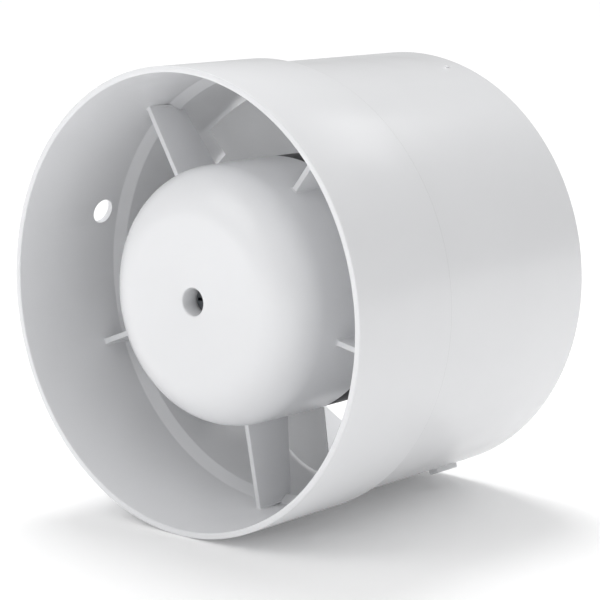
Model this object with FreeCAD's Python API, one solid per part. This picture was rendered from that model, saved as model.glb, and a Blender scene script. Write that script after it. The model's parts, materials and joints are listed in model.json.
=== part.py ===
import FreeCAD, Part
import math
import os
from FreeCAD import Vector

# In-line bathroom extractor fan for round duct. The tube's axis is Y, the front rim faces -Y, +Z is up,
# and the origin is the centre of the tube. Stations are distances back from the front rim, in mm.
# Angles are seen from the front: 0 is to the right (+X), 90 is up (+Z).

# tube
duct_diameter = 100.0
tube_length = 79.0
sleeve_wall = 1.35
front_sleeve_depth = 29.0
shoulder_length = 2.5
body_depth = 1.2
body_wall = 1.8
rim_round = 0.3

# struts between the tube and the motor cup
strut_count = 5
strut_thickness = 1.2
strut_angle = 56.8
strut_hub_station = 20.0
strut_rim_station = 23.0

# motor cup
cup_diameter = 57.0
cup_wall = 1.6
cup_front_station = 5.0
cup_rear_station = 33.8
cup_dome_radius = 10.4
cup_draft = 0.3

# supply cable
cable_hole_diameter = 5.7
cable_hole_station = 24.25
cable_hole_angle = 164.5
cup_cable_hole_diameter = 6.4
cup_cable_hole_station = 21.5
cup_cable_hole_angle = 164.5
grommet_lip = 0.9

# screw that holds the motor in its cup
screw_recess_diameter = 6.0
screw_recess_depth = 6.5
screw_seat_thickness = 2.0
screw_diameter = 3.0
screw_head_diameter = 5.4
screw_head_height = 2.0
cross_half_width = 0.14
cross_reach = 0.62
cross_depth = 0.6

# motor
stack_length = 12.0
stator_diameter = 50.0
back_iron = 4.4
pole_width = 7.2
shoe_depth = 2.5
shoe_half_angle = 36.0
rotor_diameter = 21.8
air_gap = 0.4
shaft_diameter = 4.0
bush_diameter = 7.2
bush_length = 4.0
housing_wall = 1.5
felt_wall = 1.1
bracket_thickness = 2.0
bracket_width = 8.0
bracket_leg_diameter = 4.6
tapped_depth = 1.5
tie_screw_diameter = 3.0
tie_head_radius = 2.0
tie_head_height = 1.1
winding_depth = 3.2
bobbin_wall = 0.7
thrust_washer_thickness = 0.5
cage_bar_count = 17
cage_ring_thickness = 1.3
cage_bar_radius = 0.8
cage_bar_depth = 1.5

# rear cover of the motor
cover_wall = 1.6
cover_spigot_length = 2.8
cover_screw_diameter = 2.5
cover_screw_radius = 14.0
cover_head_height = 0.9
cover_pad_radius = 3.4
cover_shaft_gap = 1.2
retainer_thickness = 0.5
shading_bar_width = 3.0
shading_bar_height = 1.0
shading_slot_room = 0.4

# wiring
block_length = 16.0
block_width = 9.0
block_height = 6.6
block_angle = 135.0
block_gap = 2.2
block_round = 0.5
block_screw_diameter = 1.76
block_screw_head = 4.4
terminal_pitch = 10.0
clamp_diameter = 4.0
clamp_wall = 0.75
clamp_floor = 1.1
terminal_head_diameter = 3.8
small_head_height = 1.0
lead_diameter = 1.4
fuse_diameter = 3.2
fuse_length = 9.0
fuse_angle = 315.0
fuse_wire_radius = 0.4
fuse_wire_length = 4.0

# impeller
blade_count = 8
blade_first_angle = 138.4
blade_wrap = 42.0
blade_root_thickness = 1.7
blade_tip_thickness = 1.1
blade_camber = 0.06
blade_lead_inset = 0.6
blade_tip_lean = 1.4
blade_trail_inset = 1.2
blade_tip_stretch = 1.0
blade_edge_share = 0.3
tip_clearance = 1.0
hub_length = 16.5
hub_wall = 1.6
hub_round = 5.0
hub_rib_count = 6
hub_rib_thickness = 1.2
hub_rib_setback = 4.0
boss_setback = 1.0
boss_wall = 2.2
insert_wall = 1.6
nut_width = 7.0
nut_height = 3.2
nut_pocket_depth = 3.6
nut_room = 0.8
nut_washer_thickness = 0.8
shaft_beyond_nut = 0.8
shaft_chamfer = 0.3

# clearances
fit_gap = 0.02
running_gap = 0.03
part_gap = 0.1
wall_gap = 0.3
cover_gap = 0.2
impeller_gap = 1.5

# worked out from the sizes above
duct_radius = duct_diameter / 2
sleeve_bore = duct_radius - sleeve_wall
body_radius = duct_radius - body_depth
fan_bore = body_radius - body_wall
cup_radius = cup_diameter / 2
cup_bore = cup_radius - cup_draft - cup_wall
shaft_radius = shaft_diameter / 2
bush_radius = bush_diameter / 2
rotor_radius = rotor_diameter / 2
stator_radius = stator_diameter / 2
stator_bore = rotor_radius + air_gap
yoke_bore = stator_radius - back_iron
pocket_radius = bush_radius + felt_wall + part_gap
housing_radius = pocket_radius + housing_wall
body_start = front_sleeve_depth + shoulder_length / 2
recess_floor = cup_front_station + screw_recess_depth
bracket_front = recess_floor + screw_seat_thickness
bearing_depth = bush_length + 2 * part_gap
pocket_front = bracket_front + bracket_thickness + tapped_depth
washer_stack = 2 * thrust_washer_thickness + 3 * part_gap
stack_front = pocket_front + bearing_depth + washer_stack
stack_rear = stack_front + stack_length
pocket_rear = stack_rear + washer_stack + bearing_depth
coil_overhang = 2 * bobbin_wall + winding_depth
bracket_rear = max(pocket_rear, stack_rear + coil_overhang + 2 * part_gap) + bracket_thickness
cover_rear = bracket_rear + 2 * part_gap + cover_wall
hub_front = cover_rear + impeller_gap
hub_rear = hub_front + hub_length
hub_radius = cup_radius - wall_gap / 2
blade_tip_radius = fan_bore - tip_clearance
leg_radius = (stator_radius + yoke_bore) / 2 - 2 * part_gap
nut_corner = nut_width / 2 / math.cos(math.radians(30))
insert_radius = shaft_radius + insert_wall
boss_radius = insert_radius + boss_wall
TIE_ANGLES = (45.0, 225.0)
POLE_ANGLES = (0.0, 90.0, 180.0, 270.0)


def at(radius, angle, station):
    """Point at a radius and angle about the axis, at a station behind the front rim."""
    turn = math.radians(angle)
    return Vector(radius * math.cos(turn), station - tube_length / 2, radius * math.sin(turn))


def rod(radius, front, rear, centre_radius=0.0, angle=0.0):
    """Cylinder along the axis between two stations."""
    return Part.makeCylinder(radius, rear - front, at(centre_radius, angle, front), Vector(0, 1, 0))


def ring(outer, inner, front, rear):
    return rod(outer, front, rear).cut(rod(inner, front, rear))


def turned(points):
    """Solid turned about the axis from (radius, station) points; a third value makes an arc through it."""
    edges = []
    start = points[0]
    for point in points[1:] + points[:1]:
        first = at(start[0], 0, start[1])
        last = at(point[0], 0, point[1])
        if len(point) == 3:
            middle = at(point[2][0], 0, point[2][1])
            edges.append(Part.Arc(first, middle, last).toShape())
        else:
            edges.append(Part.makeLine(first, last))
        start = point
    face = Part.Face(Part.Wire(edges))
    return face.revolve(Vector(0, 0, 0), Vector(0, 1, 0), 360)


def block(radial, across, stations, angle):
    """Box with its own radial and sideways spans, at an angle about the axis."""
    low = Vector(radial[0], stations[0] - tube_length / 2, across[0])
    box = Part.makeBox(radial[1] - radial[0], stations[1] - stations[0], across[1] - across[0], low)
    return spun(box, angle)


def spun(shape, angle):
    """Copy turned about the axis by an angle, positive as the angles are counted."""
    copy = shape.copy()
    copy.rotate(Vector(0, 0, 0), Vector(0, 1, 0), -angle)
    return copy


def sector(outer, inner, from_angle, to_angle, front, rear):
    """Part of a ring between two angles."""
    low = at(inner, from_angle, front)
    middle_angle = (from_angle + to_angle) / 2
    outer_low = at(outer, from_angle, front)
    outer_high = at(outer, to_angle, front)
    edges = [
        Part.makeLine(low, outer_low),
        Part.Arc(outer_low, at(outer, middle_angle, front), outer_high).toShape(),
        Part.makeLine(outer_high, at(inner, to_angle, front)),
        Part.Arc(at(inner, to_angle, front), at(inner, middle_angle, front), low).toShape(),
    ]
    return Part.Face(Part.Wire(edges)).extrude(Vector(0, rear - front, 0))


def outward(angle):
    turn = math.radians(angle)
    return Vector(math.cos(turn), 0, math.sin(turn))


def radial_rod(radius, inner, outer, angle, station):
    return Part.makeCylinder(radius, outer - inner, at(inner, angle, station), outward(angle))


def rounded(shape, size, stations):
    """Rounds the full-circle edges that lie at the given stations."""
    wanted = []
    for edge in shape.Edges:
        if not isinstance(edge.Curve, Part.Circle):
            continue
        station = edge.Curve.Center.y + tube_length / 2
        on_axis = abs(edge.Curve.Center.x) + abs(edge.Curve.Center.z) < 1e-6
        if on_axis and any(abs(station - wanted_station) < 1e-4 for wanted_station in stations):
            wanted.append(edge)
    return shape.makeFillet(size, wanted)


def save(name, *solids):
    shape = solids[0] if len(solids) == 1 else Part.makeCompound(solids)
    shape.exportStep("parts/" + name + ".step")
    print(name, len(shape.Solids), round(shape.Volume, 2), shape.isValid())


def tube():
    """Front sleeve, and behind it a slightly smaller body that runs to the rear rim."""
    outside_step = shoulder_length / 4
    points = [
        (sleeve_bore, 0.0),
        (duct_radius, 0.0),
        (duct_radius, body_start - outside_step),
        (body_radius, body_start + outside_step),
        (body_radius, tube_length),
        (fan_bore, tube_length),
        (fan_bore, front_sleeve_depth + shoulder_length),
        (sleeve_bore, front_sleeve_depth),
    ]
    return rounded(turned(points), rim_round, (0.0, tube_length))


def dome(radius, front, round_radius, rear, draft):
    """Filled outline of the motor cup: flat front, large round and slightly drafted side."""
    side = radius - draft
    flat = side - round_radius
    middle = (flat + round_radius * math.sin(math.pi / 4), front + round_radius * (1 - math.cos(math.pi / 4)))
    return turned([
        (0.0, rear),
        (0.0, front),
        (flat, front),
        (side, front + round_radius, middle),
        (radius, rear),
    ])


def motor_cup(filled):
    """Domed cup with the screw recess, the seat of the motor bracket and the seat of the terminal block."""
    inner_front = cup_front_station + cup_wall
    hollow = dome(cup_radius - cup_wall, inner_front, cup_dome_radius - cup_wall, cup_rear_station, cup_draft)
    cup = filled.cut(hollow)
    stem_radius = screw_recess_diameter / 2 + cup_wall
    pieces = [rod(stem_radius, cup_front_station + 0.5, bracket_front)]
    rib = bracket_width / 2 + part_gap
    for angle in TIE_ANGLES:
        for side in (-1, 1):
            across = sorted((side * rib, side * (rib + cup_wall)))
            seat = block((stem_radius + 1, cup_bore), across, (cup_front_station, bracket_front + 1), angle)
            pieces.append(seat.common(filled))
    across = (-block_length / 2, block_length / 2)
    pad = block(block_span(), across, (cup_front_station, block_front()), block_angle)
    pieces.append(pad.common(filled))
    cup = cup.fuse(pieces)
    cup = cup.cut(rod(screw_recess_diameter / 2, cup_front_station - 1, recess_floor))
    cup = cup.cut(rod(screw_diameter / 2 + part_gap, recess_floor - 1, bracket_front + 1))
    pilot = block_screw_diameter / 2 + fit_gap
    cup = cup.cut(rod(pilot, cup_front_station + cup_wall, block_front() + 1, block_centre(), block_angle))
    return cup


def strut(filled):
    """Radial plate whose front edge leans back towards the tube."""
    inner = cup_radius - cup_wall / 2
    outer = duct_radius
    half = strut_thickness / 2
    rear = cup_rear_station - 0.6
    corners = [(inner, strut_hub_station), (outer, strut_rim_station), (outer, rear), (inner, rear)]
    points = [Vector(radius, station - tube_length / 2, -half) for radius, station in corners]
    plate = Part.Face(Part.makePolygon(points + points[:1])).extrude(Vector(0, 0, strut_thickness))
    return plate.common(filled)


def tube_filled(inset):
    """The tube's outside as a full solid, set in from the skin, to trim the struts with."""
    return rod(duct_radius - inset, inset, body_start).fuse(rod(body_radius - inset, inset, tube_length - inset))


def duct_casing():
    filled = dome(cup_radius, cup_front_station, cup_dome_radius, cup_rear_station, cup_draft)
    trim = tube_filled(sleeve_wall / 2)
    pieces = [motor_cup(filled)]
    plate = strut(trim)
    for number in range(strut_count):
        pieces.append(spun(plate, strut_angle + number * 360.0 / strut_count))
    casing = tube().fuse(pieces)
    hole = radial_rod(cable_hole_diameter / 2, sleeve_bore - 2, duct_radius + 1,
                      cable_hole_angle, cable_hole_station)
    cup_hole = radial_rod(cup_cable_hole_diameter / 2, cup_bore - 2, cup_radius + 1,
                          cup_cable_hole_angle, cup_cable_hole_station)
    return casing.cut([hole, cup_hole]).removeSplitter()


def cable_grommet():
    """Rubber ring with a lip on each side of the cup's wall."""
    hole_radius = cup_cable_hole_diameter / 2
    inner = cup_radius - cup_wall - grommet_lip - wall_gap
    outer = cup_radius + grommet_lip
    span = (cup_cable_hole_angle, cup_cable_hole_station)
    body = radial_rod(hole_radius - part_gap, inner, outer, *span)
    lips = radial_rod(hole_radius + grommet_lip, inner, outer, *span)
    shell = ring(cup_radius + part_gap, cup_radius - cup_draft - cup_wall - part_gap, 0, tube_length)
    lips = lips.cut(shell)
    bore = radial_rod(hole_radius - 1.2, inner - 1, outer + 1, *span)
    return body.fuse(lips).cut(bore)


def cross_screw(head_radius, head_height, shank_radius, head_front, tip, centre_radius=0.0, angle=0.0):
    """Pan-head screw with a cross recess, head towards the front."""
    head = rod(head_radius, head_front, head_front + head_height, centre_radius, angle)
    rim = [edge for edge in head.Edges if isinstance(edge.Curve, Part.Circle)]
    front_rim = [edge for edge in rim if abs(edge.Curve.Center.y - (head_front - tube_length / 2)) < 1e-6]
    head = head.makeFillet(head_height * 0.45, front_rim)
    shank = rod(shank_radius, head_front + head_height / 2, tip, centre_radius, angle)
    half = head_radius * cross_half_width
    reach = head_radius * cross_reach
    depth = head_height * cross_depth
    base = at(centre_radius, angle, head_front)
    screw = head.fuse(shank)
    for size_x, size_z in ((half, reach), (reach, half)):
        slot = Part.makeBox(2 * size_x, depth + 1, 2 * size_z, base - Vector(size_x, 1, size_z))
        screw = screw.cut(slot)
    return screw


def flipped(shape, station):
    """Copy turned end for end about a station, so that a head faces the rear."""
    copy = shape.copy()
    copy.rotate(Vector(0, station - tube_length / 2, 0), Vector(0, 0, 1), 180)
    return copy


def stator_core():
    core = ring(stator_radius, yoke_bore, stack_front, stack_rear)
    reach = (stator_bore + shoe_depth / 2, yoke_bore + back_iron / 2)
    pieces = []
    for angle in POLE_ANGLES:
        pieces.append(block(reach, (-pole_width / 2, pole_width / 2), (stack_front, stack_rear), angle))
        pieces.append(sector(stator_bore + shoe_depth, stator_bore, angle - shoe_half_angle,
                             angle + shoe_half_angle, stack_front, stack_rear))
    core = core.fuse(pieces)
    cuts = []
    for angle in POLE_ANGLES:
        first, last = shade_slot(angle)
        cuts.append(sector(shade_outer() + part_gap, stator_bore - 1, first - shading_slot_room,
                           last + shading_slot_room, stack_front, stack_rear))
    for angle in TIE_ANGLES:
        cuts.append(rod(tie_screw_diameter / 2 + part_gap, stack_front, stack_rear, leg_radius, angle))
    return core.cut(cuts).removeSplitter()


def shade_slot(angle):
    """Angles between which the shading ring's inner bar lies in its pole shoe."""
    return angle + shoe_half_angle * 0.36, angle + shoe_half_angle * 0.42


def shade_outer():
    return stator_bore + shoe_depth * 0.52


def shading_ring(angle):
    """Closed copper loop round the trailing third of a pole shoe."""
    inner = stator_bore + 0.15
    first, last = shade_slot(angle)
    edge = angle + shoe_half_angle + 1.2
    end = edge + shading_bar_width
    front = stack_front - shading_bar_height - part_gap
    rear = stack_rear + shading_bar_height + part_gap
    bars = [
        sector(shade_outer(), inner, edge, end, front, rear),
        sector(shade_outer(), inner, first, end, front, front + shading_bar_height),
        sector(shade_outer(), inner, first, end, rear - shading_bar_height, rear),
    ]
    return sector(shade_outer(), inner, first, last, front, rear).fuse(bars).removeSplitter()


def coil_inner():
    return stator_bore + shoe_depth + wall_gap


def coil_outer():
    """Furthest radial reach of a bobbin whose corners stay inside the yoke."""
    half = pole_width / 2 + part_gap + bobbin_wall + winding_depth + bobbin_wall
    return math.sqrt(yoke_bore ** 2 - half ** 2) - 2 * part_gap


def coil_frame(grow, inner, outer, angle):
    """Block round a pole, grown on all four sides of the pole."""
    half = pole_width / 2 + part_gap + grow
    reach = part_gap + grow
    return block((inner, outer), (-half, half), (stack_front - reach, stack_rear + reach), angle)


def bobbin(angle):
    inner = coil_inner()
    outer = coil_outer()
    flange = winding_depth + 2 * bobbin_wall
    pieces = [
        coil_frame(flange, inner, inner + bobbin_wall, angle),
        coil_frame(flange, outer - bobbin_wall, outer, angle),
    ]
    body = coil_frame(bobbin_wall, inner, outer, angle).fuse(pieces)
    return body.cut(coil_frame(0.0, inner - 1, outer + 1, angle)).removeSplitter()


def winding(angle):
    inner = coil_inner() + bobbin_wall + fit_gap
    outer = coil_outer() - bobbin_wall - fit_gap
    wound = coil_frame(bobbin_wall + winding_depth, inner, outer, angle)
    along = outward(angle)
    corners = []
    for edge in wound.Edges:
        if abs(abs(edge.tangentAt(edge.FirstParameter).dot(along)) - 1) < 1e-6:
            corners.append(edge)
    wound = wound.makeFillet(winding_depth * 0.8, corners)
    return wound.cut(coil_frame(bobbin_wall + fit_gap, inner - 1, outer + 1, angle))


def bracket(bar_front, leg_front, leg_rear, pocket, mouth):
    """Bar across the motor with two legs to the stator and a bearing housing open towards the rotor."""
    bar_rear = bar_front + bracket_thickness
    reach = leg_radius + bracket_leg_diameter / 2 - part_gap
    half = bracket_width / 2
    low = min(pocket, mouth)
    high = max(pocket, mouth)
    pieces = [rod(housing_radius, min(bar_front, low), max(bar_rear, high))]
    for angle in TIE_ANGLES:
        pieces.append(block((0, reach), (-half, half), (bar_front, bar_rear), angle))
        pieces.append(rod(bracket_leg_diameter / 2, leg_front, leg_rear, leg_radius, angle))
    body = pieces[0].fuse(pieces[1:])
    return body.cut(rod(pocket_radius, low, high))


def front_bracket():
    body = bracket(bracket_front, bracket_front, stack_front, pocket_front, pocket_front + bearing_depth)
    cuts = [rod(screw_diameter / 2 - part_gap, bracket_front - 1, pocket_front + 1)]
    for angle in TIE_ANGLES:
        cuts.append(rod(tie_screw_diameter / 2 + part_gap, bracket_front - 1, stack_front + 1,
                        leg_radius, angle))
    return body.cut(cuts).removeSplitter()


def rear_bracket():
    bar_front = bracket_rear - bracket_thickness
    body = bracket(bar_front, stack_rear, bracket_rear, pocket_rear, pocket_rear - bearing_depth)
    cuts = [rod(shaft_radius + wall_gap, stack_rear, bracket_rear + 1)]
    for angle in TIE_ANGLES:
        cuts.append(rod(tie_screw_diameter / 2 + fit_gap, stack_rear - 1, bracket_rear + 1,
                        leg_radius, angle))
        cuts.append(rod(cover_screw_diameter / 2 + fit_gap, bar_front - 1, bracket_rear + 1,
                        cover_screw_radius, angle))
    return body.cut(cuts).removeSplitter()


def bearing_parts(pocket, mouth):
    """Sintered bush, the oil felt round it and the spring retainer in the pocket's mouth."""
    toward = 1 if mouth > pocket else -1
    floor = pocket + toward * part_gap
    end = mouth - toward * part_gap
    cap_start = end - toward * retainer_thickness
    felt_end = cap_start - toward * part_gap
    bush = ring(bush_radius, shaft_radius + running_gap, *sorted((floor, end)))
    felt = ring(pocket_radius - fit_gap, bush_radius + part_gap, *sorted((floor, felt_end)))
    retainer = ring(pocket_radius - fit_gap, bush_radius + part_gap, *sorted((cap_start, end)))
    return bush, felt, retainer


def motor_rear_cover():
    inner = cup_radius - wall_gap / 2 - cover_wall
    front = cup_rear_station + cover_gap
    outer = cup_radius - wall_gap / 2
    arc = cover_wall * (1 - math.sqrt(0.5))
    body = turned([
        (inner, front),
        (outer, front),
        (outer, cover_rear - cover_wall),
        (outer - cover_wall, cover_rear, (outer - arc, cover_rear - arc)),
        (shaft_radius + cover_shaft_gap, cover_rear),
        (shaft_radius + cover_shaft_gap, cover_rear - cover_wall),
        (inner - 1.0, cover_rear - cover_wall),
        (inner, cover_rear - cover_wall - 1.0),
    ])
    spigot_outer = cup_bore - wall_gap
    spigot = ring(spigot_outer, stator_radius + wall_gap, cup_rear_station - cover_spigot_length, front + 1.0)
    web = ring(outer - part_gap, stator_radius + wall_gap, front, front + 1.0)
    body = body.fuse([spigot, web])
    pads = []
    cuts = []
    for angle in TIE_ANGLES:
        place = (cover_screw_radius, angle)
        sunk = cover_rear - cover_head_height - part_gap
        pads.append(rod(cover_pad_radius, bracket_rear + fit_gap, cover_rear - cover_wall / 2, *place))
        cuts.append(rod(cover_screw_diameter / 2 + part_gap, bracket_rear - 1, cover_rear + 1, *place))
        cuts.append(rod(cover_screw_diameter + part_gap, sunk, cover_rear + 1, *place))
    return body.fuse(pads).cut(cuts).removeSplitter()


def block_centre():
    return housing_radius + block_gap + block_width / 2


def block_span():
    centre = block_centre()
    return centre - block_width / 2, centre + block_width / 2


def block_front():
    """Station of the pad's face, far enough back to clear the inside of the dome."""
    corner = math.hypot(block_span()[1], block_length / 2)
    inside = cup_dome_radius - cup_wall
    flat = cup_radius - cup_draft - cup_dome_radius
    rise = max(corner - flat, 0.0)
    return cup_front_station + cup_wall + inside - math.sqrt(inside ** 2 - rise ** 2) + 2 * wall_gap


def terminal_pieces():
    """Two-pole block with its brass clamps, their screws and the screw that fixes the block."""
    front = block_front() + fit_gap
    rear = front + block_height
    centre = block_centre()
    body = block(block_span(), (-block_length / 2, block_length / 2), (front, rear), block_angle)
    body = body.makeFillet(block_round, [edge for edge in body.Edges if edge.Length > block_length - 1])
    clamp_radius = clamp_diameter / 2
    thread_radius = clamp_radius - clamp_wall - part_gap
    cuts = []
    clamps = []
    screws = []
    for side in (-1, 1):
        across = side * terminal_pitch / 2
        radius = math.hypot(across, centre)
        angle = block_angle + math.degrees(math.atan2(across, centre))
        cuts.append(rod(clamp_radius + part_gap, front + clamp_floor - part_gap, rear + 1, radius, angle))
        clamps.append(ring_at(clamp_radius, clamp_radius - clamp_wall, front + clamp_floor,
                              rear - 2 * small_head_height, radius, angle))
        screws.append(flipped_screw(terminal_head_diameter / 2, small_head_height, thread_radius,
                                    rear - small_head_height / 2, front + clamp_floor + 0.5, radius, angle))
    head_radius = block_screw_head / 2
    sunk = rear - small_head_height - 2 * part_gap
    cuts.append(rod(block_screw_diameter / 2 + wall_gap, front - 1, rear + 1, centre, block_angle))
    cuts.append(rod(head_radius + part_gap, sunk, rear + 1, centre, block_angle))
    fixing = flipped_screw(head_radius, small_head_height, block_screw_diameter / 2, rear - part_gap,
                           cup_front_station + cup_wall + part_gap, centre, block_angle)
    return body.cut(cuts), clamps, screws, fixing


def ring_at(outer, inner, front, rear, centre_radius, angle):
    return rod(outer, front, rear, centre_radius, angle).cut(rod(inner, front, rear, centre_radius, angle))


def flipped_screw(head_radius, head_height, shank_radius, head_rear, tip, centre_radius, angle):
    """The same screw with its head towards the rear."""
    span = head_rear - tip
    screw = cross_screw(head_radius, head_height, shank_radius, 0.0, span)
    screw = flipped(screw, 0.0)
    shift = at(centre_radius, angle, head_rear) - at(0.0, 0.0, 0.0)
    screw.translate(shift)
    return screw


def lead(side):
    """Short insulated lead from the block's terminal to the winding behind it."""
    front = block_front() + block_height + part_gap
    coil_front = stack_front - part_gap - 2 * bobbin_wall - winding_depth - part_gap
    radius = (coil_inner() + coil_outer()) / 2
    angle = block_angle + side * (45.0 - math.degrees(math.atan2(pole_width, radius)))
    return rod(lead_diameter / 2, front, coil_front, math.hypot(radius, pole_width), angle)


def thermal_fuse():
    """Cylindrical fuse with a wire at each end, in the slot between two coils."""
    radius = yoke_bore - fuse_diameter / 2 - 2 * part_gap
    middle = (stack_front + stack_rear) / 2
    half = fuse_length / 2
    reach = half + fuse_wire_length
    body = rod(fuse_diameter / 2, middle - half, middle + half, radius, fuse_angle)
    return body.fuse(rod(fuse_wire_radius, middle - reach, middle + reach, radius, fuse_angle))


def cage_radius():
    return rotor_radius - cage_bar_depth


def rotor_core():
    core = ring(rotor_radius, shaft_radius + fit_gap, stack_front, stack_rear)
    holes = []
    for number in range(cage_bar_count):
        angle = number * 360.0 / cage_bar_count
        holes.append(rod(cage_bar_radius, stack_front, stack_rear, cage_radius(), angle))
    return core.cut(holes)


def rotor_cage():
    """Cast end rings joined by bars through the core."""
    outer = rotor_radius - wall_gap
    inner = cage_radius() - cage_bar_radius - cage_ring_thickness
    half_ring = cage_ring_thickness / 2
    front_ring = ring(outer, inner, stack_front - cage_ring_thickness, stack_front - fit_gap)
    rear_ring = ring(outer, inner, stack_rear + fit_gap, stack_rear + cage_ring_thickness)
    bars = [rear_ring]
    for number in range(cage_bar_count):
        angle = number * 360.0 / cage_bar_count
        bars.append(rod(cage_bar_radius - fit_gap, stack_front - half_ring, stack_rear + half_ring,
                        cage_radius(), angle))
    return front_ring.fuse(bars).removeSplitter()


def thrust_washers():
    washers = []
    outer = bush_radius - 0.2
    step = thrust_washer_thickness + part_gap
    for number in range(2):
        front = stack_front - part_gap / 2 - thrust_washer_thickness - number * step
        rear = stack_rear + part_gap / 2 + number * step
        for start in (front, rear):
            washers.append(ring(outer, shaft_radius + fit_gap, start, start + thrust_washer_thickness))
    return washers


def blade_section(radius):
    """Closed outline of a blade in the plane that stands square to its own radius."""
    half_wrap = math.radians(blade_wrap / 2)
    height = radius * math.cos(half_wrap)
    half = radius * math.sin(half_wrap)
    share = (radius - hub_radius) / (blade_tip_radius - hub_radius)
    front = hub_front + blade_lead_inset + blade_tip_lean * share
    rear = hub_rear - blade_trail_inset + blade_tip_stretch * share
    thickness = blade_root_thickness + (blade_tip_thickness - blade_root_thickness) * share
    chord = math.hypot(2 * half, rear - front)
    normal = Vector(-(rear - front) / chord, -2 * half / chord, 0)
    bulge = normal * (chord * blade_camber)
    leading = Vector(-half, front - tube_length / 2, height)
    trailing = Vector(half, rear - tube_length / 2, height)
    middle = (leading + trailing) * 0.5 + bulge
    thick = normal * (thickness / 2)
    thin = normal * (thickness * blade_edge_share)
    along = (trailing - leading).normalize() * (thickness * blade_edge_share)
    edges = [
        Part.Arc(leading + thin, middle + thick, trailing + thin).toShape(),
        Part.Arc(trailing + thin, trailing + along, trailing - thin).toShape(),
        Part.Arc(trailing - thin, middle - thick, leading - thin).toShape(),
        Part.Arc(leading - thin, leading - along, leading + thin).toShape(),
    ]
    return Part.Wire(edges)


def blade():
    """Twisted blade from inside the hub's wall out to the tip circle."""
    root = hub_radius - hub_wall / 2
    tip = (blade_tip_radius + tip_clearance) / math.cos(math.radians(blade_wrap / 2))
    first = root - hub_wall / 2
    radii = [first + (tip - first) * number / 5 for number in range(6)]
    solid = Part.makeLoft([blade_section(radius) for radius in radii], True, False)
    solid = solid.common(rod(blade_tip_radius, hub_front - 5, hub_rear + 5))
    return solid.cut(rod(root, hub_front - 5, hub_rear + 5))


def impeller():
    """Hub closed at the rear, boss on the shaft, ribs between them and the ring of blades."""
    arc = hub_round * (1 - math.sqrt(0.5))
    outside = turned([
        (0.0, hub_front),
        (hub_radius, hub_front),
        (hub_radius, hub_rear - hub_round),
        (hub_radius - hub_round, hub_rear, (hub_radius - arc, hub_rear - arc)),
        (0.0, hub_rear),
    ])
    inner_round = hub_round - hub_wall
    inner_arc = inner_round * (1 - math.sqrt(0.5))
    inner = hub_radius - hub_wall
    inner_rear = hub_rear - hub_wall
    hollow = turned([
        (0.0, hub_front - 1),
        (inner, hub_front - 1),
        (inner, inner_rear - inner_round),
        (inner - inner_round, inner_rear, (inner - inner_arc, inner_rear - inner_arc)),
        (0.0, inner_rear),
    ])
    shell = outside.cut(hollow)
    boss_front = hub_front + boss_setback
    pieces = [rod(boss_radius, boss_front, hub_rear - hub_wall / 2)]
    half = hub_rib_thickness / 2
    reach = (boss_radius - hub_wall / 2, hub_radius - hub_wall / 2)
    stations = (hub_front + hub_rib_setback, hub_rear - hub_wall / 2)
    for number in range(hub_rib_count):
        rib = block(reach, (-half, half), stations, number * 360.0 / hub_rib_count)
        pieces.append(rib.common(outside))
    blade_angle = blade_first_angle - blade_wrap / 2 - 90.0
    one_blade = blade()
    for number in range(blade_count):
        pieces.append(spun(one_blade, blade_angle + number * 360.0 / blade_count))
    body = shell.fuse(pieces)
    pocket = nut_corner + nut_room
    cuts = [
        rod(insert_radius + fit_gap, boss_front - 1, hub_rear - nut_pocket_depth),
        rod(pocket, hub_rear - nut_pocket_depth, hub_rear + 1),
    ]
    return body.cut(cuts).removeSplitter()


def impeller_insert():
    """Brass bush moulded into the impeller's boss."""
    return ring(insert_radius, shaft_radius + fit_gap, hub_front + boss_setback,
                hub_rear - nut_pocket_depth - part_gap)


def impeller_nut():
    base = hub_rear - nut_pocket_depth + nut_washer_thickness + 2 * part_gap
    points = [at(nut_corner, 60.0 * number, base) for number in range(7)]
    prism = Part.Face(Part.makePolygon(points)).extrude(Vector(0, nut_height, 0))
    return prism.cut(rod(shaft_radius + fit_gap, base - 1, base + nut_height + 1))


def impeller_washer():
    front = hub_rear - nut_pocket_depth + part_gap
    return ring(nut_corner, shaft_radius + fit_gap, front, front + nut_washer_thickness)


def motor_shaft():
    tail = hub_rear - nut_pocket_depth + nut_washer_thickness + nut_height + 2 * part_gap + shaft_beyond_nut
    shaft = rod(shaft_radius, pocket_front + 2 * part_gap, tail)
    ends = [edge for edge in shaft.Edges if isinstance(edge.Curve, Part.Circle)]
    return shaft.makeChamfer(shaft_chamfer, ends)


def tie_screw(angle):
    head_front = bracket_front - tie_head_height - fit_gap
    tip = bracket_rear - wall_gap
    return cross_screw(tie_head_radius, tie_head_height, tie_screw_diameter / 2, head_front, tip,
                       leg_radius, angle)


def cover_screw(angle):
    tip = bracket_rear - bracket_thickness - 2 * part_gap
    return flipped_screw(cover_screw_diameter, cover_head_height, cover_screw_diameter / 2,
                         cover_rear - part_gap, tip, cover_screw_radius, angle)


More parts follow.
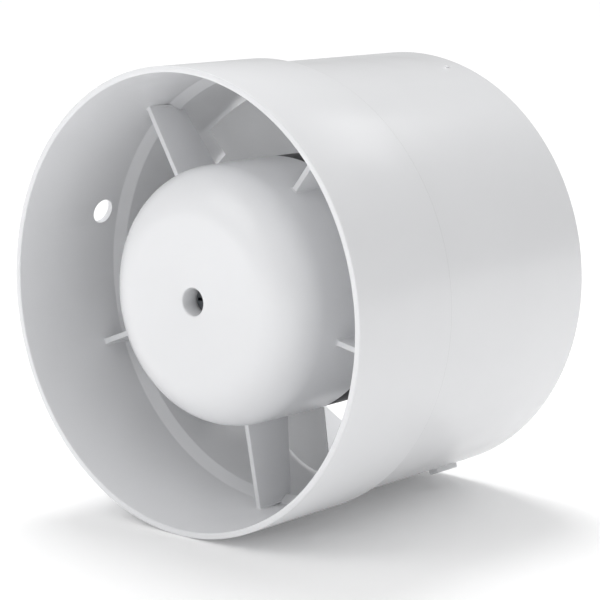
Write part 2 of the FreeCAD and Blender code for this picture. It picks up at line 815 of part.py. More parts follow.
def main():
    os.makedirs("parts", exist_ok=True)
    save("duct_casing", duct_casing())
    save("cable_grommet", cable_grommet())
    head_front = recess_floor - screw_head_height - fit_gap
    save("centre_screw", cross_screw(screw_head_diameter / 2, screw_head_height,
                                     screw_diameter / 2 - 2 * part_gap, head_front, pocket_front - part_gap))
    save("motor_rear_cover", motor_rear_cover())
    save("cover_screws", *[cover_screw(angle) for angle in TIE_ANGLES])
    save("stator_core", stator_core())
    for number, angle in enumerate(POLE_ANGLES, 1):
        save("shading_ring_%d" % number, shading_ring(angle))
        save("bobbin_%d" % number, bobbin(angle))
        save("winding_%d" % number, winding(angle))
    save("front_bracket", front_bracket())
    save("rear_bracket", rear_bracket())
    save("tie_screws", *[tie_screw(angle) for angle in TIE_ANGLES])
    for side, pocket, toward in (("front", pocket_front, 1), ("rear", pocket_rear, -1)):
        bush, felt, retainer = bearing_parts(pocket, pocket + toward * bearing_depth)
        save(side + "_bearing_bush", bush)
        save(side + "_oil_felt", felt)
        save(side + "_bearing_retainer", retainer)
    body, clamps, screws, fixing = terminal_pieces()
    save("terminal_block", body)
    save("terminal_clamps", *clamps)
    save("terminal_screws", *screws)
    save("block_screw", fixing)
    save("live_lead", lead(1))
    save("neutral_lead", lead(-1))
    save("thermal_fuse", thermal_fuse())
    save("motor_shaft", motor_shaft())
    save("rotor_core", rotor_core())
    save("rotor_cage", rotor_cage())
    save("thrust_washers", *thrust_washers())
    save("impeller", impeller())
    save("impeller_insert", impeller_insert())
    save("impeller_washer", impeller_washer())
    save("impeller_nut", impeller_nut())


main()
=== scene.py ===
import bmesh
import bpy
import json
import math
from mathutils import Matrix, Vector


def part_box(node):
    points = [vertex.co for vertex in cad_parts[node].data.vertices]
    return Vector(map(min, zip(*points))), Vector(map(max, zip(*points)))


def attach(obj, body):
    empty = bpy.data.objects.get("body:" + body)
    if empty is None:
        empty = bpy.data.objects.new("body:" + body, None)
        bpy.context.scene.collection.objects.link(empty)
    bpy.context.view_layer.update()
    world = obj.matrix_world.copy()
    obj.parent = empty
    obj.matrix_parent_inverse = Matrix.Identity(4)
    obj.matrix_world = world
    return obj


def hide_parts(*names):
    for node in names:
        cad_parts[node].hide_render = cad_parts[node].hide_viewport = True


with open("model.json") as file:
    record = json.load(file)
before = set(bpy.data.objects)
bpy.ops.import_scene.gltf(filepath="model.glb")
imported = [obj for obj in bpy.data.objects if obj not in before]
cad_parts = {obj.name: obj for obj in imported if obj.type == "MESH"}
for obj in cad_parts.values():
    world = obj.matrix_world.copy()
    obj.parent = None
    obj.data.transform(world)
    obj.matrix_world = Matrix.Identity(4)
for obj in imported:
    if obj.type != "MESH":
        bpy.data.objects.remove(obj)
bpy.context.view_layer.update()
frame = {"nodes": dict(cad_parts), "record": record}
nodes = frame["nodes"]

mm = 0.001
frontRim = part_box("duct_casing")[0].y  # stations count back from the front rim, in mm
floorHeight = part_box("duct_casing")[0].z


def place(radius, angle, back):
    turn = math.radians(angle)
    return Vector((radius * mm * math.cos(turn), frontRim + back * mm, radius * mm * math.sin(turn)))


def spinProfile(bm, points, steps=160, closed=True):
    verts = [bm.verts.new(place(radius, 0, back)) for radius, back in points]
    pairs = list(zip(verts, verts[1:]))
    if closed:
        pairs.append((verts[-1], verts[0]))
    edges = [bm.edges.new(pair) for pair in pairs]
    bmesh.ops.spin(bm, geom=verts + edges, cent=(0, 0, 0), axis=(0, 1, 0),
                   angle=math.tau, steps=steps, use_merge=True)
    bmesh.ops.remove_doubles(bm, verts=bm.verts, dist=0.2 * 1e-6)
    bmesh.ops.recalc_face_normals(bm, faces=bm.faces)


def ringEdges(bm, radius, back):
    found = []
    for edge in bm.edges:
        near = [abs(math.hypot(v.co.x, v.co.z) - radius * mm) < 2e-6
                and abs(v.co.y - frontRim - back * mm) < 2e-6 for v in edge.verts]
        if all(near):
            found.append(edge)
    return found


def roundRings(bm, rings, size, segments=3):
    edges = [edge for ring in rings for edge in ringEdges(bm, *ring)]
    bmesh.ops.bevel(bm, geom=edges, offset=size * mm, offset_type="OFFSET", segments=segments,
                    profile=0.5, affect="EDGES", material=-1, clamp_overlap=True)


weldDistance = 2e-7  # metres, far below any real edge


def makePiece(bm, name, body, material, stands=(), sharp=34):
    bmesh.ops.remove_doubles(bm, verts=bm.verts, dist=weldDistance)
    bmesh.ops.dissolve_degenerate(bm, dist=weldDistance, edges=bm.edges)
    # flat faces are cut into triangles here, so that none comes out with no area
    bmesh.ops.triangulate(bm, faces=[face for face in bm.faces if len(face.verts) > 4],
                          quad_method="BEAUTY", ngon_method="BEAUTY")
    bmesh.ops.dissolve_degenerate(bm, dist=weldDistance, edges=bm.edges)
    bm.normal_update()
    for face in bm.faces:
        face.smooth = True
    for edge in bm.edges:
        edge.smooth = not edge.is_manifold or edge.calc_face_angle(0) < math.radians(sharp)
    mesh = bpy.data.meshes.new(name)
    bm.to_mesh(mesh)
    bm.free()
    piece = bpy.data.objects.new(name, mesh)
    bpy.context.scene.collection.objects.link(piece)
    piece.data.materials.append(material)
    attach(piece, body)
    if stands:
        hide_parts(*stands)
    return piece


def cutWith(bm, cutters):
    holder = bpy.data.objects.new("work", bpy.data.meshes.new("work"))
    bm.to_mesh(holder.data)
    bm.free()
    bpy.context.scene.collection.objects.link(holder)
    extras = []
    for number, cutter in enumerate(cutters):
        tool = bpy.data.objects.new("tool%d" % number, bpy.data.meshes.new("tool%d" % number))
        cutter.to_mesh(tool.data)
        cutter.free()
        bpy.context.scene.collection.objects.link(tool)
        cut = holder.modifiers.new("cut%d" % number, "BOOLEAN")
        cut.operation = "DIFFERENCE"
        cut.solver = "EXACT"
        cut.object = tool
        extras.append(tool)
    evaluated = holder.evaluated_get(bpy.context.evaluated_depsgraph_get())
    result = bmesh.new()
    result.from_mesh(evaluated.to_mesh())
    evaluated.to_mesh_clear()
    for item in extras + [holder]:
        bpy.data.objects.remove(item)
    return result


alongAxis = Matrix.Rotation(math.pi / 2, 4, "X")  # lays a cone's own axis along the tube's


def turnAboutAxis(bm, angle):
    bmesh.ops.rotate(bm, verts=bm.verts, cent=(0, 0, 0),
                     matrix=Matrix.Rotation(-math.radians(angle), 3, "Y"))


def radialDrill(radius, angle, back, inner, outer, segments=48):
    bm = bmesh.new()
    turn = Matrix.Translation(place((inner + outer) / 2, angle, back)) \
        @ Matrix.Rotation(-math.radians(angle), 4, "Y") @ Matrix.Rotation(math.pi / 2, 4, "Y")
    bmesh.ops.create_cone(bm, cap_ends=True, segments=segments, radius1=radius * mm, radius2=radius * mm,
                          depth=(outer - inner) * mm, matrix=turn)
    return bm


def newMaterial(name):
    material = bpy.data.materials.new(name)
    material.use_nodes = True
    return material, material.node_tree.nodes, material.node_tree.links


def mouldedPlastic(name, colour, rough, roughSpread=0.06, tint=0.02, grain=0.02, grainScale=2600,
                   wave=0.02, waveScale=45, coat=0.0, specular=0.5):
    material, parts, links = newMaterial(name)
    shader = parts["Principled BSDF"]
    shader.inputs["Specular IOR Level"].default_value = specular
    shader.inputs["Coat Weight"].default_value = coat
    shader.inputs["Coat Roughness"].default_value = 0.06
    where = parts.new("ShaderNodeTexCoord")
    cloud = parts.new("ShaderNodeTexNoise")
    cloud.inputs["Scale"].default_value = 38.0
    cloud.inputs["Detail"].default_value = 5.0
    links.new(where.outputs["Object"], cloud.inputs["Vector"])
    shade = parts.new("ShaderNodeValToRGB")
    shade.color_ramp.elements[0].position = 0.3
    shade.color_ramp.elements[1].position = 0.7
    shade.color_ramp.elements[0].color = (*[c * (1 - tint) for c in colour], 1)
    shade.color_ramp.elements[1].color = (*colour, 1)
    links.new(cloud.outputs["Fac"], shade.inputs["Fac"])
    links.new(shade.outputs["Color"], shader.inputs["Base Color"])
    polish = parts.new("ShaderNodeTexNoise")
    polish.inputs["Scale"].default_value = 120.0
    polish.inputs["Detail"].default_value = 4.0
    links.new(where.outputs["Object"], polish.inputs["Vector"])
    span = parts.new("ShaderNodeMapRange")
    span.inputs["To Min"].default_value = rough - roughSpread / 2
    span.inputs["To Max"].default_value = rough + roughSpread / 2
    links.new(polish.outputs["Fac"], span.inputs["Value"])
    links.new(span.outputs["Result"], shader.inputs["Roughness"])
    sink = parts.new("ShaderNodeTexNoise")
    sink.inputs["Scale"].default_value = waveScale
    sink.inputs["Detail"].default_value = 1.0
    links.new(where.outputs["Object"], sink.inputs["Vector"])
    swell = parts.new("ShaderNodeBump")
    swell.inputs["Strength"].default_value = wave
    swell.inputs["Distance"].default_value = 0.002
    links.new(sink.outputs["Fac"], swell.inputs["Height"])
    spark = parts.new("ShaderNodeTexNoise")
    spark.inputs["Scale"].default_value = grainScale
    spark.inputs["Detail"].default_value = 2.0
    links.new(where.outputs["Object"], spark.inputs["Vector"])
    bump = parts.new("ShaderNodeBump")
    bump.inputs["Strength"].default_value = grain
    bump.inputs["Distance"].default_value = 0.0001
    links.new(spark.outputs["Fac"], bump.inputs["Height"])
    links.new(swell.outputs["Normal"], bump.inputs["Normal"])
    links.new(bump.outputs["Normal"], shader.inputs["Normal"])
    return material


def workedMetal(name, colour, rough, grainScale=(400, 400, 400), scratch=0.08, stain=0.12,
                bumpDepth=0.15):
    material, parts, links = newMaterial(name)
    shader = parts["Principled BSDF"]
    shader.inputs["Metallic"].default_value = 1.0
    where = parts.new("ShaderNodeTexCoord")
    stretch = parts.new("ShaderNodeMapping")
    stretch.inputs["Scale"].default_value = grainScale
    links.new(where.outputs["Object"], stretch.inputs["Vector"])
    lines = parts.new("ShaderNodeTexNoise")
    lines.inputs["Scale"].default_value = 1.0
    lines.inputs["Detail"].default_value = 6.0
    links.new(stretch.outputs["Vector"], lines.inputs["Vector"])
    cloud = parts.new("ShaderNodeTexNoise")
    cloud.inputs["Scale"].default_value = 160.0
    cloud.inputs["Detail"].default_value = 5.0
    links.new(where.outputs["Object"], cloud.inputs["Vector"])
    shade = parts.new("ShaderNodeValToRGB")
    shade.color_ramp.elements[0].position = 0.35
    shade.color_ramp.elements[1].position = 0.7
    shade.color_ramp.elements[0].color = (*[c * (1 - stain) for c in colour], 1)
    shade.color_ramp.elements[1].color = (*colour, 1)
    links.new(cloud.outputs["Fac"], shade.inputs["Fac"])
    links.new(shade.outputs["Color"], shader.inputs["Base Color"])
    span = parts.new("ShaderNodeMapRange")
    span.inputs["From Min"].default_value = 0.3
    span.inputs["From Max"].default_value = 0.7
    span.inputs["To Min"].default_value = max(rough - scratch, 0.05)
    span.inputs["To Max"].default_value = rough + scratch
    links.new(lines.outputs["Fac"], span.inputs["Value"])
    links.new(span.outputs["Result"], shader.inputs["Roughness"])
    bump = parts.new("ShaderNodeBump")
    bump.inputs["Strength"].default_value = bumpDepth
    bump.inputs["Distance"].default_value = 0.00005
    links.new(lines.outputs["Fac"], bump.inputs["Height"])
    links.new(bump.outputs["Normal"], shader.inputs["Normal"])
    return material


print("materials")
finishes = {
    "casing_plastic": mouldedPlastic("casingPlastic", (0.86, 0.865, 0.88), 0.24, wave=0.03),
    "impeller_plastic": mouldedPlastic("impellerPlastic", (0.86, 0.865, 0.875), 0.3),
    "cover_plastic": mouldedPlastic("coverPlastic", (0.014, 0.014, 0.015), 0.5, grain=0.3, grainScale=1800),
    "grommet_rubber": mouldedPlastic("grommetRubber", (0.03, 0.03, 0.032), 0.65, grain=0.3, grainScale=1500),
    "dark_screw": workedMetal("darkScrew", (0.16, 0.17, 0.18), 0.34),
    "zinc_screw": workedMetal("zincScrew", (0.62, 0.62, 0.60), 0.32),
    "core_steel": workedMetal("coreSteel", (0.30, 0.30, 0.31), 0.42,
                              grainScale=(20, 2000, 20), bumpDepth=0.5),
    "shading_copper": workedMetal("shadingCopper", (0.72, 0.36, 0.22), 0.34),
    "winding_copper": workedMetal("windingCopper", (0.55, 0.22, 0.10), 0.3),
    "bobbin_nylon": mouldedPlastic("bobbinNylon", (0.72, 0.70, 0.62), 0.45),
    "bracket_aluminium": workedMetal("bracketAluminium", (0.70, 0.71, 0.72), 0.42),
    "bush_bronze": workedMetal("bushBronze", (0.55, 0.38, 0.20), 0.45),
    "oil_felt": mouldedPlastic("oilFelt", (0.42, 0.36, 0.26), 0.9, grain=0.8, grainScale=900, tint=0.3),
    "spring_steel": workedMetal("springSteel", (0.48, 0.48, 0.50), 0.3),
    "block_nylon": mouldedPlastic("blockNylon", (0.80, 0.79, 0.74), 0.42),
    "terminal_brass": workedMetal("terminalBrass", (0.74, 0.58, 0.28), 0.3),
    "live_insulation": mouldedPlastic("liveInsulation", (0.20, 0.07, 0.03), 0.4),
    "neutral_insulation": mouldedPlastic("neutralInsulation", (0.03, 0.10, 0.42), 0.4),
    "fuse_case": mouldedPlastic("fuseCase", (0.78, 0.76, 0.70), 0.4),
    "shaft_steel": workedMetal("shaftSteel", (0.60, 0.60, 0.62), 0.18, grainScale=(60, 1500, 60)),
    "cage_aluminium": workedMetal("cageAluminium", (0.66, 0.67, 0.68), 0.48),
    "washer_fibre": mouldedPlastic("washerFibre", (0.32, 0.13, 0.07), 0.7, grain=0.5),
}

slotOf = {item["node"]: item["material_slot"] for item in frame["record"]["subparts"]}

print("tube")
tube = {
    "radius": 50.0, "bore": 48.65, "length": 79.0,
    "bodyRadius": 48.8, "bodyBore": 47.0,
    "bodyStart": 30.25, "stepHalf": 0.625, "boreSteps": (29.0, 31.5),
    "rimRound": 0.3, "stepRound": 0.22,
    "cableHole": (2.85, 164.5, 24.25),
    "lug": (292.5, 64.5, 72.0, 2.6, 49.9),  # angle, front, rear, width, outer radius
    "pip": (72.0, 72.3, 73.3, 1.1, 49.1),
}


def makeTube(t):
    bm = bmesh.new()
    points = [
        (t["bore"], 0.0), (t["radius"], 0.0),
        (t["radius"], t["bodyStart"] - t["stepHalf"]), (t["bodyRadius"], t["bodyStart"] + t["stepHalf"]),
        (t["bodyRadius"], t["length"]), (t["bodyBore"], t["length"]),
        (t["bodyBore"], t["boreSteps"][1]), (t["bore"], t["boreSteps"][0]),
    ]
    spinProfile(bm, points, steps=240)
    roundRings(bm, points[:2] + points[4:6], t["rimRound"], 4)
    roundRings(bm, points[2:4] + points[6:], t["stepRound"], 3)
    radius, angle, back = t["cableHole"]
    bm = cutWith(bm, [radialDrill(radius, angle, back, t["bore"] - 3, t["radius"] + 3, 64)])
    return makePiece(bm, "ductTube", "casing", finishes["casing_plastic"], ["duct_casing"])


def makeLug(t, name, size):
    angle, first, last, width, outer = size
    inner = t["bodyRadius"] - 0.4
    bm = bmesh.new()
    spot = Matrix.Translation(((inner + outer) / 2 * mm, frontRim + (first + last) / 2 * mm, 0)) \
        @ Matrix.Diagonal(((outer - inner) * mm, (last - first) * mm, width * mm, 1))
    bmesh.ops.create_cube(bm, size=1.0, matrix=spot)
    crown = [edge for edge in bm.edges if max(v.co.x for v in edge.verts) > (outer - 0.01) * mm]
    bmesh.ops.bevel(bm, geom=crown, offset=0.3 * mm, offset_type="OFFSET", segments=3, profile=0.5,
                    affect="EDGES", material=-1, clamp_overlap=True)
    turnAboutAxis(bm, angle)
    return makePiece(bm, name, "casing", finishes["casing_plastic"])


makeTube(tube)
makeLug(tube, "rearLug", tube["lug"])
makeLug(tube, "rearPip", tube["pip"])

print("motor cup")
cup = {
    "radius": 28.5, "draft": 0.3, "wall": 1.6, "front": 5.0, "rear": 33.8, "dome": 10.4,
    "recess": 3.0, "recessFloor": 11.5, "seat": 13.5, "screwHole": 1.6,
    "mouthRound": 0.35, "rimRound": 0.25,
    "cableHole": (3.2, 164.5, 21.5),
}


def makeCup(c):
    bm = bmesh.new()
    lean = c["draft"] / (c["rear"] - c["front"])
    frontRadius = c["radius"] - c["draft"] - lean * c["dome"]
    innerFront = c["front"] + c["wall"]
    stem = c["recess"] + c["wall"]
    points = [
        (c["screwHole"], c["recessFloor"]), (c["recess"], c["recessFloor"]), (c["recess"], c["front"]),
        (frontRadius, c["front"]), (c["radius"], c["rear"]), (c["radius"] - c["wall"], c["rear"]),
        (frontRadius - c["wall"], innerFront), (stem, innerFront),
        (stem, c["seat"]), (c["screwHole"], c["seat"]),
    ]
    spinProfile(bm, points, steps=160)
    roundRings(bm, [points[3]], c["dome"], 22)
    roundRings(bm, [points[6]], c["dome"] - c["wall"], 14)
    roundRings(bm, [points[2]], c["mouthRound"], 4)
    roundRings(bm, points[4:6], c["rimRound"], 3)
    radius, angle, back = c["cableHole"]
    bm = cutWith(bm, [radialDrill(radius, angle, back, c["radius"] - 5, c["radius"] + 3)])
    return makePiece(bm, "motorCup", "casing", finishes["casing_plastic"])


makeCup(cup)

print("centre screw")
screw = {
    "front": 8.6, "floor": 11.5, "head": 2.75, "shank": 1.45, "crown": 0.9,
    "crossHalf": 0.36, "crossReach": 1.75, "crossDepth": 1.3,
}


def makeScrew(s):
    bm = bmesh.new()
    tip = (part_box("centre_screw")[1].y - frontRim) / mm
    points = [
        (0.0, s["front"]), (s["head"], s["front"]), (s["head"], s["floor"]),
        (s["shank"], s["floor"]), (s["shank"], tip), (0.0, tip),
    ]
    spinProfile(bm, points, steps=72, closed=False)
    roundRings(bm, [points[1]], s["crown"], 6)
    cutters = []
    for wide, tall in ((s["crossHalf"], s["crossReach"]), (s["crossReach"], s["crossHalf"])):
        tool = bmesh.new()
        middle = frontRim + (s["front"] - 1.0 + s["crossDepth"] / 2) * mm
        spot = Matrix.Translation((0, middle, 0)) \
            @ Matrix.Diagonal((2 * wide * mm, (s["crossDepth"] + 2.0) * mm, 2 * tall * mm, 1))
        bmesh.ops.create_cube(tool, size=1.0, matrix=spot)
        cutters.append(tool)
    bm = cutWith(bm, cutters)
    return makePiece(bm, "centreScrew", "casing", finishes["dark_screw"], ["centre_screw"])


makeScrew(screw)

print("struts")
strut = {
    "count": 5, "angle": 56.8, "thickness": 1.2, "hubFront": 20.0, "rimFront": 23.0, "rear": 33.2,
    "hub": 28.35, "rim": 48.65, "fillet": 0.4, "edgeRound": 0.3,
    "tuckFrom": 1.8, "tuck": 0.52,
}


def makeStrut(s, name, angle):
    bm = bmesh.new()
    bmesh.ops.create_cube(bm, size=1.0, matrix=Matrix.Translation((0.5, 0.5, 0)))
    steps = [0.0, 0.12, 0.3, 0.55, 0.85]
    inner, outer = s["hub"] - 0.7, s["rim"] + 0.4
    radii = [s["hub"] + step * s["fillet"] for step in steps]
    radii += [s["rim"] - step * s["fillet"] for step in steps]
    radii += [(s["hub"] + s["rim"]) / 2, s["hub"] + 1.2, s["rim"] - 1.2]
    for radius in radii:
        share = (radius - inner) / (outer - inner)
        bmesh.ops.bisect_plane(bm, geom=bm.verts[:] + bm.edges[:] + bm.faces[:],
                               plane_co=(share, 0, 0), plane_no=(1, 0, 0))
    for vert in bm.verts:
        radius = inner + (outer - inner) * vert.co.x
        gap = max(min(radius - s["hub"], s["rim"] - radius), 0.0)
        dip = max(s["fillet"] - gap, 0.0)
        flare = s["fillet"] - math.sqrt(s["fillet"] ** 2 - dip ** 2)
        share = (radius - s["hub"]) / (s["rim"] - s["hub"])
        lead = s["hubFront"] + (s["rimFront"] - s["hubFront"]) * share - flare
        back = lead + (s["rear"] - lead) * vert.co.y
        reach = radius
        # behind the seam the tube is narrower, so the rear corner stays inside its wall
        bend = s["rim"] - s["tuckFrom"]
        if radius > bend and vert.co.y > 0.5:
            reach = bend + (radius - bend) * s["tuck"]
        half = s["thickness"] / 2 + flare
        vert.co = Vector((reach * mm, frontRim + back * mm, 2 * vert.co.z * half * mm))
    bm.normal_update()
    long = [edge for edge in bm.edges if edge.is_manifold and edge.calc_face_angle(0) > math.radians(50)
            and abs(edge.verts[0].co.x - edge.verts[1].co.x) > 0.02 * mm]
    bmesh.ops.bevel(bm, geom=long, offset=s["edgeRound"] * mm, offset_type="OFFSET", segments=3,
                    profile=0.5, affect="EDGES", material=-1, clamp_overlap=True)
    turnAboutAxis(bm, angle)
    bmesh.ops.recalc_face_normals(bm, faces=bm.faces)
    return makePiece(bm, name, "casing", finishes["casing_plastic"])


for number in range(strut["count"]):
    makeStrut(strut, "strut%d" % (number + 1), strut["angle"] + number * 360 / strut["count"])

print("rear cover of the motor")
cover = {
    "radius": 28.35, "wall": 1.6, "front": 34.0, "rear": 43.8, "round": 1.6, "shaftHole": 3.2,
    "screwPlace": 14.0, "screwAngles": (45.0, 225.0), "sink": (2.6, 1.0), "screwHole": 1.35,
    "spigot": (26.3, 25.3, 31.0),
}


def makeCover(c):
    bm = bmesh.new()
    inner = c["radius"] - c["wall"]
    spigotOuter, spigotInner, spigotFront = c["spigot"]
    points = [
        (c["radius"], c["front"]), (c["radius"], c["rear"]), (c["shaftHole"], c["rear"]),
        (c["shaftHole"], c["rear"] - c["wall"]), (inner, c["rear"] - c["wall"]), (inner, c["front"] + 1.0),
        (spigotInner, c["front"] + 1.0), (spigotInner, spigotFront), (spigotOuter, spigotFront),
        (spigotOuter, c["front"]),
    ]
    spinProfile(bm, points, steps=160)
    roundRings(bm, [points[1]], c["round"], 6)
    roundRings(bm, [points[0], points[2]], 0.2, 2)
    cutters = []
    for angle in c["screwAngles"]:
        for radius, depth in (c["sink"], (c["screwHole"], 4.0)):
            tool = bmesh.new()
            spot = Matrix.Translation(place(c["screwPlace"], angle, c["rear"])) @ alongAxis
            bmesh.ops.create_cone(tool, cap_ends=True, segments=40, radius1=radius * mm, radius2=radius * mm,
                                  depth=2 * depth * mm, matrix=spot)
            cutters.append(tool)
    bm = cutWith(bm, cutters)
    return makePiece(bm, "motorRearCover", "casing",
                     finishes["cover_plastic"], ["motor_rear_cover"])


makeCover(cover)

print("impeller")
wheel = {
    "hubRadius": 28.35, "hubWall": 1.6, "hubFront": 45.3, "hubRear": 61.8, "hubRound": 5.0,
    "pocket": 4.84, "pocketDepth": 3.6, "boss": 5.8, "bossFront": 46.3, "insert": 3.62,
    "blades": 8, "firstAngle": 138.4, "wrap": 42.0, "tip": 46.0,
    "rootThickness": 1.7, "tipThickness": 1.1, "camber": 0.06,
    "leadInset": 0.6, "tipLean": 1.4, "trailInset": 1.2, "tipStretch": 1.0, "fillet": 1.0,
}


def makeWheelHub(w):
    bm = bmesh.new()
    inner = w["hubRadius"] - w["hubWall"]
    innerRear = w["hubRear"] - w["hubWall"]
    floor = w["hubRear"] - w["pocketDepth"]
    points = [
        (w["hubRadius"], w["hubFront"]), (w["hubRadius"], w["hubRear"]), (w["pocket"], w["hubRear"]),
        (w["pocket"], floor), (w["insert"], floor), (w["insert"], w["bossFront"]),
        (w["boss"], w["bossFront"]), (w["boss"], innerRear), (inner, innerRear), (inner, w["hubFront"]),
    ]
    spinProfile(bm, points, steps=192)
    roundRings(bm, [points[1]], w["hubRound"], 12)
    roundRings(bm, [points[8]], w["hubRound"] - w["hubWall"], 8)
    roundRings(bm, [points[0], points[2], points[6], points[9]], 0.25, 3)
    return makePiece(bm, "impellerHub", "rotor",
                     finishes["impeller_plastic"], ["impeller"])


def makeBlade(w, name, angle):
    bm = bmesh.new()
    around, along = 36, 14
    bmesh.ops.create_grid(bm, x_segments=around, y_segments=along, size=0.5,
                          matrix=Matrix.Translation((0.5, 0.5, 0)))
    half = math.radians(w["wrap"] / 2)
    root = w["hubRadius"] - 0.9
    stretch = (w["tip"] / math.cos(half) - root)
    for vert in bm.verts:
        turn = math.tau * vert.co.x
        share = vert.co.y ** 1.25
        radius = root + stretch * share
        slope = (radius - w["hubRadius"]) / (w["tip"] - w["hubRadius"])
        lead = w["hubFront"] + w["leadInset"] + w["tipLean"] * slope
        trail = w["hubRear"] - w["trailInset"] + w["tipStretch"] * slope
        thick = w["rootThickness"] + (w["tipThickness"] - w["rootThickness"]) * slope
        start = Vector((-radius * math.sin(half), lead, radius * math.cos(half)))
        end = Vector((radius * math.sin(half), trail, radius * math.cos(half)))
        chord = end - start
        normal = Vector((-(trail - lead), -2 * radius * math.sin(half), 0)).normalized()
        part = (1 - math.cos(turn)) / 2
        spot = start + chord * part + normal * (chord.length * w["camber"] * 4 * part * (1 - part))
        away = math.hypot(spot.x, spot.z) - w["hubRadius"]
        dip = max(w["fillet"] - max(away, 0.0), 0.0)
        # the root fillet fades out towards both edges of the blade
        fade = math.sqrt(max(4 * part * (1 - part), 0.0))
        flare = (w["fillet"] - math.sqrt(w["fillet"] ** 2 - dip ** 2)) * fade
        swing = math.sin(turn)
        side = math.copysign(abs(swing) ** 0.35, swing) if abs(swing) > 1e-6 else 0.0
        spot += normal * side * (thick / 2 + flare)
        vert.co = Vector((spot.x * mm, frontRim + spot.y * mm, spot.z * mm))
    bmesh.ops.remove_doubles(bm, verts=bm.verts, dist=1e-7)
    rims = [edge for edge in bm.edges if edge.is_boundary]
    bmesh.ops.holes_fill(bm, edges=rims, sides=0)
    bmesh.ops.recalc_face_normals(bm, faces=bm.faces)
    # everything outside the tip circle and inside the hub is cut away
    reach = 0.1
    outside = bmesh.new()
    bmesh.ops.create_cone(outside, cap_ends=True, segments=240, radius1=reach, radius2=reach, depth=reach,
                          matrix=alongAxis)
    bore = bmesh.new()
    tip = w["tip"] * mm
    bmesh.ops.create_cone(bore, cap_ends=True, segments=240, radius1=tip, radius2=tip,
                          depth=1.2 * reach, matrix=alongAxis)
    outside = cutWith(outside, [bore])
    core = bmesh.new()
    inside = (w["hubRadius"] - 0.8) * mm
    bmesh.ops.create_cone(core, cap_ends=True, segments=192, radius1=inside, radius2=inside,
                          depth=1.2 * reach, matrix=alongAxis)
    bm = cutWith(bm, [outside, core])
    bm.normal_update()
    tipEdges = [edge for edge in bm.edges if edge.is_manifold and edge.calc_face_angle(0) > math.radians(50)
                and min(math.hypot(v.co.x, v.co.z) for v in edge.verts) > (w["tip"] - 0.05) * mm]
    bmesh.ops.bevel(bm, geom=tipEdges, offset=0.2 * mm, offset_type="OFFSET", segments=2, profile=0.5,
                    affect="EDGES", material=-1, clamp_overlap=True)
    turnAboutAxis(bm, angle)
    return makePiece(bm, name, "rotor", finishes["impeller_plastic"])


makeWheelHub(wheel)
for number in range(wheel["blades"]):
    makeBlade(wheel, "blade%d" % (number + 1),
              wheel["firstAngle"] - wheel["wrap"] / 2 - 90 + number * 360 / wheel["blades"])

print("finishes on the CAD parts")
for name, node in nodes.items():
    node.data.materials.clear()
    node.data.materials.append(finishes[slotOf[name]])
    for face in node.data.polygons:
        face.use_smooth = True
    weld = node.modifiers.new("weld", "WELD")
    weld.merge_threshold = 1e-6
    split = node.modifiers.new("creases", "EDGE_SPLIT")
    split.split_angle = math.radians(30)

print("camera, floor and lights")
cameraSettings = {
    "place": (0.31624, -0.36254, 0.08374),
    "look": (-0.64648, 0.74139, -0.18003),
    "lens": 131.4,
}

studio = {
    "world": 0.34,
    "floorGlow": 0.07,
    # name, direction it comes from, energy, angle across
    "suns": [
        ("overhead", (0, 0, 1), 1.0, 100),
        ("fromBehind", (-0.55, 0.45, 1.35), 1.25, 28),
    ],
    # name, place, target, width, height, power, shows in gloss
    "boxes": [
        ("front", (-0.28, -0.80, 0.75), (0, 0, -0.01), 0.7, 0.7, 2.15, True),
        ("mouth", (0.10, -1.1, 0.10), (0, 0, 0), 0.5, 0.4, 0.95, False),
        ("patch", (0.10, 0.84, 0.72), (0.035, 0, 0.035), 0.42, 0.24, 0.42, True),
    ],
}


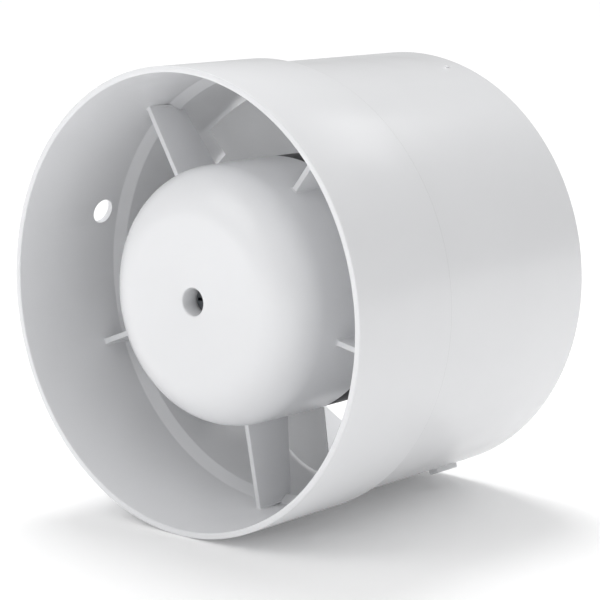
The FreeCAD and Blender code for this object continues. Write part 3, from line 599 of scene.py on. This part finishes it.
def makeCamera(settings):
    data = bpy.data.cameras.new("camera")
    data.lens = settings["lens"]
    data.sensor_width = 36.0
    camera = bpy.data.objects.new("camera", data)
    bpy.context.scene.collection.objects.link(camera)
    camera.location = settings["place"]
    camera.rotation_euler = Vector(settings["look"]).to_track_quat("-Z", "Y").to_euler()
    bpy.context.scene.camera = camera


def makeFloor():
    bm = bmesh.new()
    bmesh.ops.create_grid(bm, x_segments=1, y_segments=1, size=4.0,
                          matrix=Matrix.Translation((0, 0, floorHeight)))
    mesh = bpy.data.meshes.new("floor")
    bm.to_mesh(mesh)
    bm.free()
    floor = bpy.data.objects.new("floor", mesh)
    bpy.context.scene.collection.objects.link(floor)
    material, parts, _ = newMaterial("paperFloor")
    shader = parts["Principled BSDF"]
    shader.inputs["Base Color"].default_value = (0.97, 0.97, 0.97, 1)
    shader.inputs["Roughness"].default_value = 0.9
    shader.inputs["Specular IOR Level"].default_value = 0.1
    shader.inputs["Emission Color"].default_value = (1, 1, 1, 1)
    shader.inputs["Emission Strength"].default_value = studio["floorGlow"]
    floor.data.materials.append(material)


def makeLights(settings):
    world = bpy.data.worlds.new("studio")
    bpy.context.scene.world = world
    world.use_nodes = True
    world.node_tree.nodes["Background"].inputs["Color"].default_value = (1, 1, 1, 1)
    world.node_tree.nodes["Background"].inputs["Strength"].default_value = settings["world"]
    for name, source, energy, across in settings["suns"]:
        data = bpy.data.lights.new(name, "SUN")
        data.energy = energy
        data.angle = math.radians(across)
        lamp = bpy.data.objects.new(name, data)
        bpy.context.scene.collection.objects.link(lamp)
        lamp.visible_glossy = False
        lamp.rotation_euler = (-Vector(source)).to_track_quat("-Z", "Y").to_euler()
    for name, spot, target, width, height, power, glossy in settings["boxes"]:
        data = bpy.data.lights.new(name, "AREA")
        data.shape = "RECTANGLE"
        data.size = width
        data.size_y = height
        data.energy = power
        lamp = bpy.data.objects.new(name, data)
        lamp.visible_camera = False
        lamp.visible_glossy = glossy
        bpy.context.scene.collection.objects.link(lamp)
        lamp.location = spot
        lamp.rotation_euler = (Vector(target) - Vector(spot)).to_track_quat("-Z", "Y").to_euler()


makeCamera(cameraSettings)
makeFloor()
makeLights(studio)
bpy.context.scene.view_settings.view_transform = "Standard"
